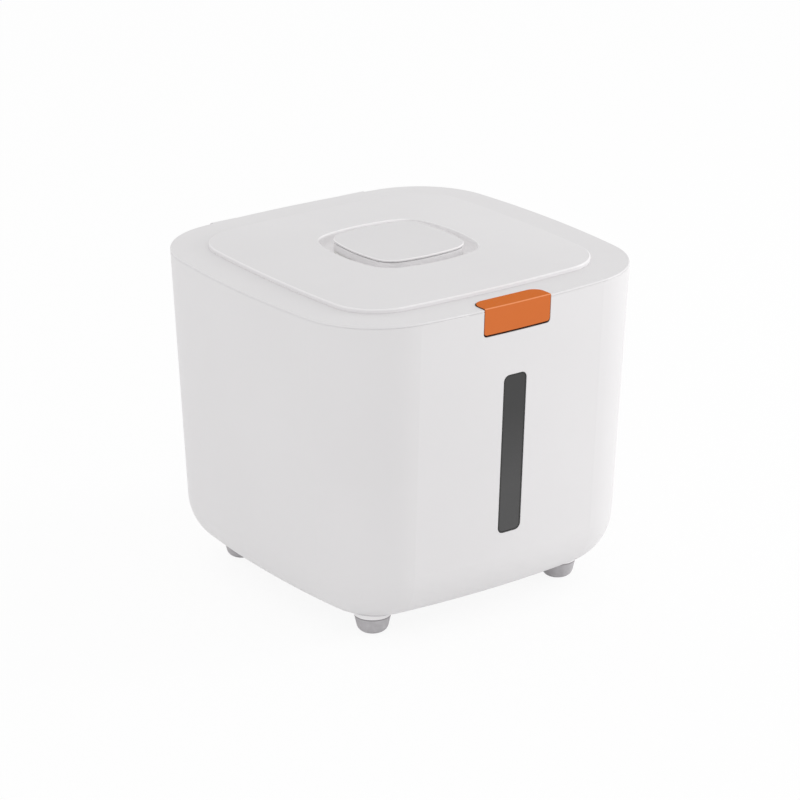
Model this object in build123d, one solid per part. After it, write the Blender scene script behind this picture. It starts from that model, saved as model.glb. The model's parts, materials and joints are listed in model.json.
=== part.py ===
from build123d import *
import math
import os

# Rice storage container with a hinged lid. Millimetres, +Z up. The origin is on the floor under the
# middle of the bin. The front, with the latch and the sight window, faces -Y. The lid hinges at the back.

# Clearances, and one overrun for cuts
overrun = 1.0
press_clearance = 0.02
running_clearance = 0.05
seat_clearance = 0.2
slip_clearance = 0.4

# Bin shell
bin_width = 265.0
bin_height = 216.1
wall = 3.0
wall_draft = 9.77
corner_radius = 60.0
bow_radius = 713.0
underside_radius = 38.0
rim_fillet = 0.6
mouth_lead = 0.5
mouth_lead_depth = 4.0

# Feet: a collar on the shell, with a peg that holds a rubber pad
foot_height = 13.5
foot_inset = 53.0
foot_radius = 12.6
collar_drop = 1.0
pad_base_radius = 9.8
pad_edge_fillet = 6.0
pad_lip_fillet = 0.5
peg_radius = 4.0
peg_length = 7.0

# Sight window in the front wall, held from inside by its flange
window_width = 19.0
window_height = 114.0
window_corner_radius = 4.5
window_drop = 48.1
window_recess = 0.3
window_clearance = 0.1
window_flange = 5.0
window_flange_thickness = 1.5
window_seat_depth = 1.0
window_seal_thickness = 0.8

# Rear hinges: ears on the bin, knuckles on the lid, one pin through each
hinge_offset = 55.0
hinge_reach = 1.8
hinge_drop = 3.6
knuckle_radius = 2.4
knuckle_width = 20.0
ear_thickness = 5.0
ear_gusset = 12.0
hinge_pin_radius = 1.2
arm_drop = 0.6
arm_shoulder_drop = 1.8

# Lid cover: edge ring, raised crowned panel and finger dish
seam = 0.2
lid_edge = 1.2
lid_edge_fillet = 0.8
cover_wall = 2.5
panel_inset = 27.0
panel_corner_radius = 36.0
panel_bow_radius = 970.0
panel_step = 3.0
panel_fillet = 1.2
panel_crown = 4.5
crown_shares = (0, 0.5, 1.2)
dish_width = 95.0
dish_corner_radius = 21.0
dish_bow_radius = 117.0
dish_depth = 8.5
dish_wall = 2.0
dish_lip_fillet = 1.2
dish_floor_fillet = 6.5
dish_floor_thickness = 2.2

# Lid liner, the seal round its edge and the screws that hold it
plug_gap = 3.3
skirt_thickness = 2.0
skirt_depth = 7.6
liner_thickness = 2.0
liner_rim_depth = 5.0
liner_rim_width = 6.0
liner_gap = 1.6
seal_height = 2.6
seal_width = 3.4
screw_radius = 1.5
screw_length = 8.0
screw_tip_room = 1.0
screw_head_radius = 2.8
screw_head_height = 1.8
screw_slot_width = 0.7
screw_slot_depth = 0.8
boss_radius = 4.0
boss_gap = 2.0
boss_root = 0.5
screw_shares = ((1, 0), (-1, 0), (0.78, 0.78), (-0.78, 0.78), (0.78, -0.78), (-0.78, -0.78))

# Latch lever, its pin, its leaf spring and the catch on the bin
latch_width = 54.0
latch_drop = 16.6
latch_rise = 0.7
latch_gap = 0.6
latch_thickness = 1.2
latch_flange_back = 15.5
latch_back_radius = 8.0
latch_corner_radius = 2.2
latch_fold_radius = 0.8
latch_side_gap = 0.5
latch_bottom_gap = 1.4
latch_back_gap = 1.0
latch_pivot_inset = 8.5
latch_pivot_drop = 2.1
latch_lug_radius = 2.2
latch_lug_width = 5.0
latch_lug_spread = 32.0
latch_pin_radius = 1.0
pocket_wall = 2.5
pocket_depth = 7.2
catch_width = 24.0
catch_radius = 0.5
catch_height = 0.2
hook_height = 0.2
catch_drop = 10.6
leaf_thickness = 0.4
leaf_width = 12.0
leaf_bend_radius = 1.4
leaf_lift_share = 0.45

# Knob and the desiccant cup under it
knob_width = 76.4
knob_corner_radius = 17.0
knob_bow_radius = 131.0
knob_rise = 8.5
knob_plate_thickness = 1.4
knob_plate_fillet = 0.8
knob_neck_inset = 0.3
knob_groove_height = 0.8
knob_groove_depth = 1.2
knob_wall = 2.4
knob_floor = 2.0
knob_spigot_depth = 5.0
cup_flange_width = 2.7
cup_flange_thickness = 1.8
cup_wall = 1.6
cup_depth = 24.0
cup_floor_fillet = 3.0
cup_hole_gap = 0.6
cup_seal_thickness = 1.0
vent_count = 7
vent_pitch = 6.0
vent_width = 2.4
vent_length = 38.0

# Levels and places that follow from the sizes above
bin_half = bin_width / 2
underside_z = foot_height
rim_z = foot_height + bin_height
seam_z = rim_z + seam
ring_z = seam_z + lid_edge
collar_z = underside_z - collar_drop
foot_pitch = 2 * (bin_half - foot_inset)
wall_lean = math.atan2(wall_draft, bin_height)

window_z = rim_z - window_drop - window_height / 2
window_seat = -(wall - window_seat_depth)

hinge_y = bin_half + hinge_reach
hinge_z = rim_z - hinge_drop
ear_offset = knuckle_width / 2 + slip_clearance + ear_thickness / 2

panel_half = bin_half - panel_inset
dish_half = dish_width / 2
lip_z = ring_z + panel_step + panel_crown * (1 - (dish_half / panel_half) ** 2)
dish_floor_z = lip_z - dish_depth
dish_under_z = dish_floor_z - dish_floor_thickness
skirt_inset = wall + plug_gap
ring_under_z = ring_z - cover_wall
liner_z = rim_z - skirt_depth
liner_rim_z = liner_z - liner_rim_depth
seal_z = (liner_z + liner_rim_z - seal_height) / 2
screw_reach = panel_half - cover_wall - boss_gap - boss_radius
boss_top_z = ring_z + panel_step - boss_root

latch_top_z = ring_z + latch_rise
latch_under_z = latch_top_z - latch_thickness
latch_bottom_z = rim_z - latch_drop
recess_z = latch_bottom_z - latch_bottom_gap
recess_depth = latch_thickness + latch_gap
latch_back_y = -bin_half + latch_flange_back
pivot_y = -bin_half + latch_pivot_inset
pivot_z = rim_z - latch_pivot_drop
pocket_z = ring_z - pocket_depth
pocket_half = latch_width / 2 + latch_side_gap
latch_pin_length = 2 * pocket_half + pocket_wall
catch_z = rim_z - catch_drop
hook_z = catch_z - 2 * catch_radius - slip_clearance

knob_half = knob_width / 2
knob_top_z = ring_z + knob_rise
knob_plate_z = knob_top_z - knob_plate_thickness
neck_half = knob_half - knob_neck_inset
cup_seal_z = dish_floor_z + seat_clearance
cup_flange_z = cup_seal_z + cup_seal_thickness
cup_mouth_z = cup_flange_z + cup_flange_thickness
cup_half = neck_half - cup_flange_width
cup_inner_half = cup_half - cup_wall
cup_bottom_z = cup_mouth_z - cup_depth
neck_z = cup_mouth_z + seat_clearance

BASE_UP = (Align.CENTER, Align.CENTER, Align.MIN)
HANG_DOWN = (Align.CENTER, Align.CENTER, Align.MAX)


def bowed_square(half_width, corner, bow):
    """Soft square about the origin: bowed sides that run smoothly into round corners."""
    reach = bow - half_width
    centre = (math.sqrt(2 * (bow - corner) ** 2 - reach**2) - reach) / 2
    lean = math.degrees(math.atan2(centre, centre + reach))
    side = CenterArc((-reach, 0), bow, -lean, 2 * lean)
    bend = CenterArc((centre, centre), corner, lean, 90 - 2 * lean)
    quarters = [Rot(0, 0, 90 * quarter) for quarter in range(4)]
    return make_face([turn * edge for turn in quarters for edge in (side, bend)])


def bin_section(level, inset=0):
    """Outline of the bin at a height, drawn inset from its outer face."""
    shrink = wall_draft * (rim_z - level) / bin_height + inset
    return Pos(0, 0, level) * bowed_square(bin_half - shrink, corner_radius - shrink, bow_radius - shrink)


def lid_section(level, inset=0):
    """Outline of the lid's edge, which is the bin's outline at the rim."""
    return Pos(0, 0, level) * bowed_square(bin_half - inset, corner_radius - inset, bow_radius - inset)


def wall_block(low_z, high_z, inset=0):
    """Solid within the bin's outline between two heights, drawn inset from its outer face."""
    return loft([bin_section(low_z, inset), bin_section(high_z, inset)], ruled=True)


def knob_section(level, half_width):
    """Outline of the knob, scaled to a half width."""
    scale_share = half_width / knob_half
    outline = bowed_square(half_width, knob_corner_radius * scale_share, knob_bow_radius * scale_share)
    return Pos(0, 0, level) * outline


def dish_section(level, outset=0):
    """Outline of the finger dish, or of the wall round it."""
    outline = bowed_square(dish_half + outset, dish_corner_radius + outset, dish_bow_radius + outset)
    return Pos(0, 0, level) * outline


def bottom_edges(solid):
    return solid.faces().sort_by(Axis.Z)[0].edges()


def top_edges(solid):
    return solid.faces().sort_by(Axis.Z)[-1].edges()


def front_wall_y(level):
    """Where the front wall's outer face stands at a height, on the middle line."""
    return wall_draft * (rim_z - level) / bin_height - bin_half


def front_plane(level):
    """Plane on the front wall: x to the right, y up the wall and z outwards."""
    outwards = (0, -math.cos(wall_lean), -math.sin(wall_lean))
    return Plane((0, front_wall_y(level), level), x_dir=(1, 0, 0), z_dir=outwards)


def side_profile(points):
    """Face in the YZ plane from (y, z) points."""
    return make_face(Plane.YZ * Polyline(*points, close=True))


def cross_bar(profile, centre_x, width):
    """Bar of a YZ profile, centred on centre_x."""
    return Pos(centre_x, 0, 0) * extrude(profile, width / 2, both=True)


def cross_rod(y, z, radius, centre_x, width):
    """Round rod along X."""
    return Pos(centre_x, y, z) * Rot(0, 90, 0) * Cylinder(radius, width)


def hinge_ears():
    """Four ears on the back wall, two for each hinge."""
    rear_root = hinge_y - hinge_reach - ear_gusset
    profile = side_profile(
        [
            (rear_root, hinge_z + knuckle_radius),
            (hinge_y, hinge_z + knuckle_radius),
            (hinge_y, hinge_z - knuckle_radius),
            (rear_root, hinge_z - knuckle_radius - ear_gusset),
        ]
    )
    ears = Part()
    for hinge_x in (-hinge_offset, hinge_offset):
        for ear_x in (hinge_x - ear_offset, hinge_x + ear_offset):
            ears += cross_bar(profile, ear_x, ear_thickness)
            ears += cross_rod(hinge_y, hinge_z, knuckle_radius, ear_x, ear_thickness)
    return ears


def make_bin_body():
    shell = wall_block(underside_z, rim_z)
    shell = fillet(bottom_edges(shell), underside_radius)
    shell = fillet(top_edges(shell), rim_fillet)

    cavity = wall_block(underside_z + wall, rim_z + overrun, wall)
    cavity = fillet(bottom_edges(cavity), underside_radius - wall)
    mouth_low = bin_section(rim_z - mouth_lead_depth, wall)
    mouth_high = bin_section(rim_z, wall - mouth_lead)
    cavity += loft([mouth_low, mouth_high], ruled=True) + extrude(mouth_high, overrun)

    shell += hinge_ears()
    for place in GridLocations(foot_pitch, foot_pitch, 2, 2):
        shell += place * Pos(0, 0, collar_z) * Cylinder(foot_radius, foot_radius, align=BASE_UP)
    shell -= cavity
    for place in GridLocations(foot_pitch, foot_pitch, 2, 2):
        shell += place * Pos(0, 0, collar_z) * Cylinder(peg_radius, peg_length, align=HANG_DOWN)

    pin_hole = hinge_pin_radius + press_clearance
    knuckle_room = knuckle_radius + slip_clearance
    for hinge_x in (-hinge_offset, hinge_offset):
        shell -= cross_rod(hinge_y, hinge_z, knuckle_room, hinge_x, knuckle_width + 2 * slip_clearance)
        shell -= cross_rod(hinge_y, hinge_z, pin_hole, hinge_x, 2 * (ear_offset + ear_thickness))

    skin = wall_block(recess_z - overrun, rim_z + overrun, -overrun)
    skin -= wall_block(recess_z - overrun, rim_z + overrun, recess_depth)
    shell -= latch_front(latch_side_gap, recess_z, rim_z + overrun) & skin
    catch_y = front_wall_y(catch_z) + recess_depth + catch_radius - catch_height
    shell += cross_rod(catch_y, catch_z, catch_radius, 0, catch_width)

    frame = front_plane(window_z)
    slot = RectangleRounded(window_width, window_height, window_corner_radius)
    shell -= extrude(frame * slot, wall + overrun, both=True)
    shell -= extrude(frame * Pos(0, 0, window_seat) * window_flange_face(window_clearance), -wall)
    return shell


def latch_front(margin, low_z, high_z):
    """Upright block through the front wall with the latch panel's outline, and a margin at its sides."""
    outline = Rectangle(latch_width + 2 * margin, high_z - low_z)
    outline = fillet(outline.vertices().sort_by(Axis.Y)[:2], latch_corner_radius + margin)
    return extrude(Plane.XZ * Pos(0, (low_z + high_z) / 2) * outline, bin_width)


def window_flange_face(margin):
    """Outline of the window's flange, with a margin round it."""
    reach = window_flange + margin
    corner = window_corner_radius + reach
    return RectangleRounded(window_width + 2 * reach, window_height + 2 * reach, corner)


def make_sight_window():
    frame = front_plane(window_z)
    pane_width = window_width - 2 * window_clearance
    pane_height = window_height - 2 * window_clearance
    pane = RectangleRounded(pane_width, pane_height, window_corner_radius - window_clearance)
    flange_top = window_seat - window_seal_thickness
    flange = extrude(frame * Pos(0, 0, flange_top) * window_flange_face(0), -window_flange_thickness)
    return flange + extrude(frame * Pos(0, 0, flange_top) * pane, -window_recess - flange_top)


def make_window_seal():
    frame = front_plane(window_z)
    slot = RectangleRounded(window_width, window_height, window_corner_radius)
    return extrude(frame * Pos(0, 0, window_seat) * (window_flange_face(0) - slot), -window_seal_thickness)


def make_foot_pad():
    """Rubber pad about its own axis: leaning in from the collar, with a round edge at its flat foot."""
    pad = Cone(pad_base_radius, foot_radius, collar_z, align=BASE_UP)
    pad = fillet(bottom_edges(pad), pad_edge_fillet)
    pad = fillet(top_edges(pad), pad_lip_fillet)
    socket = Cylinder(peg_radius + press_clearance, peg_length + slip_clearance, align=HANG_DOWN)
    return pad - Pos(0, 0, collar_z) * socket


def make_hinge_pin(hinge_x):
    return cross_rod(hinge_y, hinge_z, hinge_pin_radius, hinge_x, 2 * ear_offset + ear_thickness)


def panel_block(inset, base_z):
    """Raised panel of the lid, from a level in the ring to its crown, drawn inset all over."""
    base_half = panel_half - inset
    step_z = ring_z + panel_step - inset
    sections = []
    for run_share in crown_shares:
        half = base_half + (dish_half - panel_half) * run_share
        corner = panel_corner_radius - inset + (dish_corner_radius - panel_corner_radius) * run_share / 2
        bow = panel_bow_radius - inset
        rise = panel_crown * (1 - ((half + inset) / panel_half) ** 2)
        sections.append(Pos(0, 0, step_z + rise) * bowed_square(half, corner, bow))
    base = bowed_square(base_half, panel_corner_radius - inset, panel_bow_radius - inset)
    return extrude(Pos(0, 0, base_z) * base, step_z - base_z) + loft(sections)


def lid_arms():
    """Two arms that reach from the lid's edge to the knuckles on the hinge pins."""
    root_y = bin_half - 2 * knuckle_radius
    front_y = bin_half + slip_clearance
    profile = side_profile(
        [
            (root_y, seam_z),
            (root_y, ring_z - arm_drop),
            (bin_half, ring_z - arm_drop),
            (hinge_y + knuckle_radius / 4, ring_z - arm_shoulder_drop),
            (hinge_y + knuckle_radius, hinge_z),
            (front_y, hinge_z),
            (front_y, seam_z - rim_fillet),
            (front_y - rim_fillet, seam_z),
        ]
    )
    arms = Part()
    for hinge_x in (-hinge_offset, hinge_offset):
        arms += cross_bar(profile, hinge_x, knuckle_width)
        arms += cross_rod(hinge_y, hinge_z, knuckle_radius, hinge_x, knuckle_width)
        bore = hinge_pin_radius + running_clearance
        arms -= cross_rod(hinge_y, hinge_z, bore, hinge_x, 2 * knuckle_width)
    return arms


def flange_outline(gap_side, gap_back, front_y):
    """Plan of the latch flange with gaps round it: square in front, round at the back corners."""
    half = latch_width / 2 + gap_side
    back_y = latch_back_y + gap_back
    plan = Pos(0, (front_y + back_y) / 2) * Rectangle(2 * half, back_y - front_y)
    return fillet(plan.vertices().sort_by(Axis.Y)[-2:], latch_back_radius + gap_side)


def lid_shell():
    """Edge ring, crowned panel and inner skirt of the lid, hollow underneath."""
    ring = extrude(lid_section(seam_z), lid_edge)
    ring = fillet(top_edges(ring), lid_edge_fillet)
    panel = panel_block(0, seam_z)
    step_z = ring_z + panel_step
    low_z = step_z - press_clearance
    high_z = step_z + press_clearance
    panel = fillet(panel.edges().filter_by_position(Axis.Z, low_z, high_z), panel_fillet)
    skirt = extrude(lid_section(liner_z, skirt_inset), seam_z - liner_z)
    hollow_low = lid_section(liner_z - overrun, skirt_inset + skirt_thickness)
    hollow = extrude(hollow_low, ring_under_z - liner_z + overrun) + panel_block(cover_wall, liner_z)
    return ring + panel + skirt - hollow


def latch_housing():
    """Block under the front of the lid that the latch pocket is cut into."""
    front_y = -bin_half + skirt_inset
    back_y = latch_back_y + latch_back_gap + pocket_wall
    height = ring_z - liner_z - lid_edge / 2
    block = Box(2 * (pocket_half + pocket_wall), back_y - front_y, height, align=BASE_UP)
    return Pos(0, (front_y + back_y) / 2, liner_z) * block


def make_lid_cover():
    cover = lid_shell() + lid_arms() + latch_housing()
    cover += extrude(dish_section(dish_under_z, dish_wall), lip_z - cover_wall / 2 - dish_under_z)
    for place in screw_places():
        boss = Cylinder(boss_radius, boss_top_z - liner_z, align=BASE_UP)
        cover += Pos(*place, liner_z) * boss

    dish = extrude(dish_section(dish_floor_z), lip_z + knob_rise - dish_floor_z)
    cover -= fillet(bottom_edges(dish), dish_floor_fillet)
    cover = fillet(dish_lip_edges(cover), dish_lip_fillet)
    cup_hole = knob_section(dish_under_z - overrun, cup_half + cup_hole_gap)
    cover -= extrude(cup_hole, dish_floor_thickness + 2 * overrun)

    pocket = flange_outline(latch_side_gap, latch_back_gap, -bin_half - overrun)
    cover -= extrude(Pos(0, 0, pocket_z) * pocket, pocket_depth + overrun)
    cover -= cross_rod(pivot_y, pivot_z, latch_pin_radius + press_clearance, 0, latch_pin_length)
    for place in screw_places():
        pilot_depth = screw_length - liner_thickness + screw_tip_room
        pilot = Cylinder(screw_radius + press_clearance, pilot_depth, align=BASE_UP)
        cover -= Pos(*place, liner_z) * pilot
    return cover


def dish_lip_edges(cover):
    """Edges where the dish opens through the crown."""
    near_lip = cover.edges().filter_by_position(Axis.Z, lip_z - dish_lip_fillet, lip_z + dish_lip_fillet)
    reach = dish_half + dish_wall / 2
    return near_lip.filter_by_position(Axis.X, -reach, reach).filter_by_position(Axis.Y, -reach, reach)


def screw_places():
    return [(share_x * screw_reach, share_y * screw_reach) for share_x, share_y in screw_shares]


def make_lid_liner():
    outline = bin_section(liner_rim_z, wall + liner_gap)
    liner = extrude(outline, liner_rim_depth)
    recess = bin_section(liner_rim_z, wall + liner_gap + liner_rim_width)
    liner -= extrude(recess, liner_rim_depth - liner_thickness)
    liner -= extrude(Pos(0, 0, seal_z - liner_rim_z) * (outline - seal_inner()), seal_height)
    liner -= extrude(knob_section(liner_rim_z, cup_half + 2 * cup_hole_gap), liner_rim_depth)
    for place in screw_places():
        hole = Cylinder(screw_radius + running_clearance, liner_rim_depth, align=BASE_UP)
        liner -= Pos(*place, liner_rim_z) * hole
    return liner


def seal_inner():
    """Outline that the lid seal grips, at the liner's lowest level."""
    return bin_section(liner_rim_z, wall + slip_clearance + seal_width)


def make_lid_seal():
    ring = bin_section(liner_rim_z, wall + slip_clearance) - seal_inner()
    return extrude(Pos(0, 0, seal_z - liner_rim_z) * ring, seal_height)


def make_lid_screws():
    """Slotted pan-head screws, heads under the liner."""
    head_z = liner_z - liner_thickness
    screw = Pos(0, 0, head_z) * Cylinder(screw_head_radius, screw_head_height, align=HANG_DOWN)
    slot = Box(2 * screw_head_radius, screw_slot_width, screw_slot_depth, align=BASE_UP)
    screw -= Pos(0, 0, head_z - screw_head_height) * slot
    screw += Pos(0, 0, head_z) * Cylinder(screw_radius, screw_length, align=BASE_UP)
    return Compound([Pos(*place) * screw for place in screw_places()])


def make_latch_lever():
    """Panel that lies flush in the front wall, with a flange to press and two lugs on the pin."""
    front = wall_block(latch_bottom_z, latch_top_z)
    skin = front - wall_block(latch_bottom_z, latch_top_z, latch_thickness)
    lever = latch_front(0, latch_bottom_z, latch_top_z) & skin
    plan = Pos(0, 0, latch_under_z) * flange_outline(0, 0, -bin_half - overrun)
    lever += extrude(plan, latch_thickness) & front
    low_z = latch_top_z - press_clearance
    high_z = latch_top_z + press_clearance
    fold = lever.edges().filter_by_position(Axis.Z, low_z, high_z).sort_by(Axis.Y)[0]
    lever = fillet(fold, latch_fold_radius)

    for lug_x in (-latch_lug_spread / 2, latch_lug_spread / 2):
        web = Box(latch_lug_width, 2 * latch_lug_radius, latch_under_z - pivot_z, align=BASE_UP)
        lever += Pos(lug_x, pivot_y, pivot_z) * web
        lever += cross_rod(pivot_y, pivot_z, latch_lug_radius, lug_x, latch_lug_width)
    lever -= cross_rod(pivot_y, pivot_z, latch_pin_radius + running_clearance, 0, latch_width)

    hook_y = front_wall_y(hook_z) + latch_thickness - catch_radius + hook_height
    return lever + cross_rod(hook_y, hook_z, catch_radius, 0, catch_width)


def make_latch_pin():
    return cross_rod(pivot_y, pivot_z, latch_pin_radius, 0, latch_pin_length)


def make_latch_spring():
    """Leaf on the pocket's floor that turns back on itself under the flange."""
    low_z = pocket_z + leaf_thickness / 2
    high_z = latch_under_z - running_clearance - leaf_thickness / 2
    back_y = latch_back_y - leaf_thickness
    bend_y = pivot_y + latch_lug_radius + leaf_bend_radius + leaf_thickness
    mid_z = low_z + 2 * leaf_bend_radius
    tip_y = bend_y + (back_y - bend_y) * leaf_lift_share
    foot = Line((back_y, low_z), (bend_y, low_z))
    bend_front = (bend_y - leaf_bend_radius, low_z + leaf_bend_radius)
    bend = ThreePointArc((bend_y, low_z), bend_front, (bend_y, mid_z))
    arm = Line((bend_y, mid_z), (tip_y, high_z))
    strip = trace([foot, bend, arm], leaf_thickness)
    return cross_bar(Plane.YZ * strip, 0, leaf_width)


def make_desiccant_cup():
    cup = extrude(knob_section(cup_bottom_z, cup_half), cup_depth)
    cup = fillet(bottom_edges(cup), cup_floor_fillet)
    cup += extrude(knob_section(cup_flange_z, neck_half), cup_flange_thickness)
    hollow = extrude(knob_section(cup_bottom_z + cup_wall, cup_inner_half), cup_depth)
    cup -= fillet(bottom_edges(hollow), cup_floor_fillet - cup_wall)
    for place in GridLocations(0, vent_pitch, 1, vent_count):
        vent = Pos(0, 0, cup_bottom_z - overrun) * place * SlotOverall(vent_length, vent_width)
        cup -= extrude(vent, cup_wall + 2 * overrun)
    return cup


def make_cup_seal():
    ring = knob_section(cup_seal_z, neck_half) - knob_section(cup_seal_z, cup_half)
    return extrude(ring, cup_seal_thickness)


def make_knob_base():
    """Neck of the knob, grooved under the plate, with a floor and a spigot that drops into the cup."""
    spigot_half = cup_inner_half - slip_clearance
    groove_z = knob_plate_z - knob_groove_height
    base = extrude(knob_section(neck_z, neck_half), groove_z - neck_z)
    base += extrude(knob_section(groove_z, neck_half - knob_groove_depth), knob_groove_height)
    base -= extrude(knob_section(neck_z + knob_floor, neck_half - knob_wall), knob_plate_z - neck_z)
    spigot = knob_section(neck_z, spigot_half) - knob_section(neck_z, spigot_half - knob_wall)
    return base + extrude(spigot, -knob_spigot_depth)


def make_knob_plate():
    """Thin top of the knob, with a ring underneath that drops into the neck."""
    plate = extrude(knob_section(knob_plate_z, knob_half), knob_plate_thickness)
    plate = fillet(top_edges(plate), knob_plate_fillet)
    ring_half = neck_half - knob_wall - press_clearance
    ring = knob_section(knob_plate_z, ring_half) - knob_section(knob_plate_z, ring_half - knob_wall)
    return plate + extrude(ring, -knob_plate_thickness)


def make_pieces():
    """Every piece of the container by its name."""
    pieces = {
        "bin_body": make_bin_body(),
        "sight_window": make_sight_window(),
        "window_seal": make_window_seal(),
        "lid_cover": make_lid_cover(),
        "lid_liner": make_lid_liner(),
        "lid_seal": make_lid_seal(),
        "lid_screws": make_lid_screws(),
        "latch_lever": make_latch_lever(),
        "latch_pin": make_latch_pin(),
        "latch_spring": make_latch_spring(),
        "desiccant_cup": make_desiccant_cup(),
        "cup_seal": make_cup_seal(),
        "knob_base": make_knob_base(),
        "knob_plate": make_knob_plate(),
        "hinge_pin_left": make_hinge_pin(-hinge_offset),
        "hinge_pin_right": make_hinge_pin(hinge_offset),
    }
    for end, y in (("front", -foot_pitch / 2), ("rear", foot_pitch / 2)):
        for side, x in (("left", -foot_pitch / 2), ("right", foot_pitch / 2)):
            pieces[f"foot_pad_{end}_{side}"] = Pos(x, y, 0) * make_foot_pad()
    return pieces


os.makedirs("parts", exist_ok=True)
for name, piece in make_pieces().items():
    export_step(piece, f"parts/{name}.step")
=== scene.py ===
import json
import math

import bmesh
import bpy
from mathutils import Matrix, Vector


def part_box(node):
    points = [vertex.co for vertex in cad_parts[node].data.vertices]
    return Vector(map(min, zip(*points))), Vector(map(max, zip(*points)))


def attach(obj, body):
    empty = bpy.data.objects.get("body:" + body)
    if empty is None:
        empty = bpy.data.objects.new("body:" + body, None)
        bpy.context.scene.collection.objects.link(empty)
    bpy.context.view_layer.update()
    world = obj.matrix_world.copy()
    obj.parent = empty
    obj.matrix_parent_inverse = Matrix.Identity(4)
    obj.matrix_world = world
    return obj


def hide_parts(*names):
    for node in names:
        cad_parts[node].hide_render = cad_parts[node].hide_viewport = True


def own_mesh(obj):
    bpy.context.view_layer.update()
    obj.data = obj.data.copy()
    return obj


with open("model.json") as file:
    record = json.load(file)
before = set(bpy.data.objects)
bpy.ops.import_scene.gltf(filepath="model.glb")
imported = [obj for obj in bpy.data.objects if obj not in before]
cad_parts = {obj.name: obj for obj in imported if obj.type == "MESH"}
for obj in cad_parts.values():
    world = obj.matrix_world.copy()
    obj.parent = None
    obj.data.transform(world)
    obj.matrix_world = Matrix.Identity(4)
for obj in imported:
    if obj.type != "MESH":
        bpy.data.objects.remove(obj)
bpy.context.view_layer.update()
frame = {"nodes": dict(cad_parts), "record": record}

# Camera of the photograph, in degrees and metres, with its lens in millimetres
camera_azimuth = -36.12
camera_elevation = 20.48
camera_distance = 2.21077
camera_lens = 143.75
camera_aside = 0.00106
camera_aim_height = 0.12348
camera_reach = 100.0

# Bin wall, in metres
rim_z = 0.2296
bin_half = 0.1325
bin_height = 0.2161
wall_draft = 0.00977
corner_radius = 0.06
bow_radius = 0.713

# Knob outline, in metres
knob_half = 0.0382
knob_corner_radius = 0.017
knob_bow_radius = 0.131

# Edges of the lid and the knob, which take painted highlights and painted light, and the finger dish, where
# painted light lifts the shade, in metres
ring_edge_z = (0.2303, 0.2309)
panel_side_z = (0.2312, 0.233)
panel_edge_z = (0.233, 0.23395)
plate_edge_z = (0.2388, 0.23945)
plate_side_gap = 0.0003
edge_blur = 0.0001
dish_reach = 0.0488
dish_edge_span = (0.035, 0.042)
dish_low_z = 0.2363
dish_level_share = 0.975

# Latch and the strip of painted shade round it, in metres, with how level a face has to be to count as the
# flange, whose upward faces take painted shade
latch_corner_radius = 0.0022
latch_back_radius = 0.008
strip_drop = 0.0011
strip_side = 0.00038
strip_back = 0.0003
strip_overlap = 0.00005
strip_set_back = 0.00035
strip_depth = 0.0008
strip_top_z = 0.228
fold_radius = 0.0008
fold_highlight_width = 0.0004
fold_highlight_blur_share = 0.5
flange_level_shares = (0.8, 0.95)
strip_corner_steps = 10

# Lip under the lid's edge, as (inset from the wall's face, height) in metres
lip_section = (
    (0.00012, 0.22983), (0.00012, 0.22941), (0.00035, 0.22959),
    (0.0006, 0.22963), (0.0012, 0.22963), (0.0012, 0.22983),
)
lip_end_x = 0.028

# Leaf spring under the latch, in metres
leaf_thickness = 0.0004
leaf_bend_radius = 0.0014
leaf_bend_steps = 12
leaf_tip_share = 0.45
leaf_tip_width_share = 0.75

# Foot pads, with painted shade round their lips, their collars, and the rings of painted shade in the creases
# over the collars, in metres
foot_count = 4
pad_lip_height = 0.0009
pad_lip_blur = 0.0002
collar_steps = 64
collar_reach = 0.01295
collar_low_z = 0.01255
collar_chamfer = 0.0003
collar_lean = 0.0001
seam_reach = 0.01268
seam_height = 0.0006
seam_low_share = 1.2
seam_high_share = 1 / 3
collar_bore = 0.0122

# Gaskets and screws, in metres
loop_steps = 20
lid_lip_width = 0.0012
lid_lip_thickness = 0.0007
lid_lip_pitch = 0.0014
cup_lip_width = 0.0005
cup_lip_thickness = 0.00025
cup_lip_pitch = 0.0004
gasket_edge_radius = 0.0002
gasket_edge_steps = 3
gasket_body_width = 0.0021
screw_head_radius = 0.0028
screw_head_height = 0.0018
screw_radius = 0.0015
screw_steps = 32
screw_head_shares = ((0.35, 0.98), (0.62, 0.88), (0.83, 0.68), (0.95, 0.42), (1, 0.12), (0.98, 0))
recess_width = 0.0008
recess_length = 0.0034
recess_depth = 0.001
recess_start_share = 1.1
recess_mouth_share = 1.15
recess_floor_share = 0.6
screw_turn_seed = 7

# Sight window: the heights between which painted shade darkens its smoke towards the top, and its pane with a
# border of painted shade, in metres
window_low_z = 0.06
window_high_z = 0.2
pane_half_width = 0.0095
pane_half_height = 0.057
pane_middle_z = 0.1245
pane_corner_radius = 0.0045
pane_border = 0.0013
pane_blur_share = 0.3

# Angles past which a fold stays sharp, in degrees
ring_sharp_angle = 30
sharp_angle = 40
gasket_sharp_angle = 50

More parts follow.
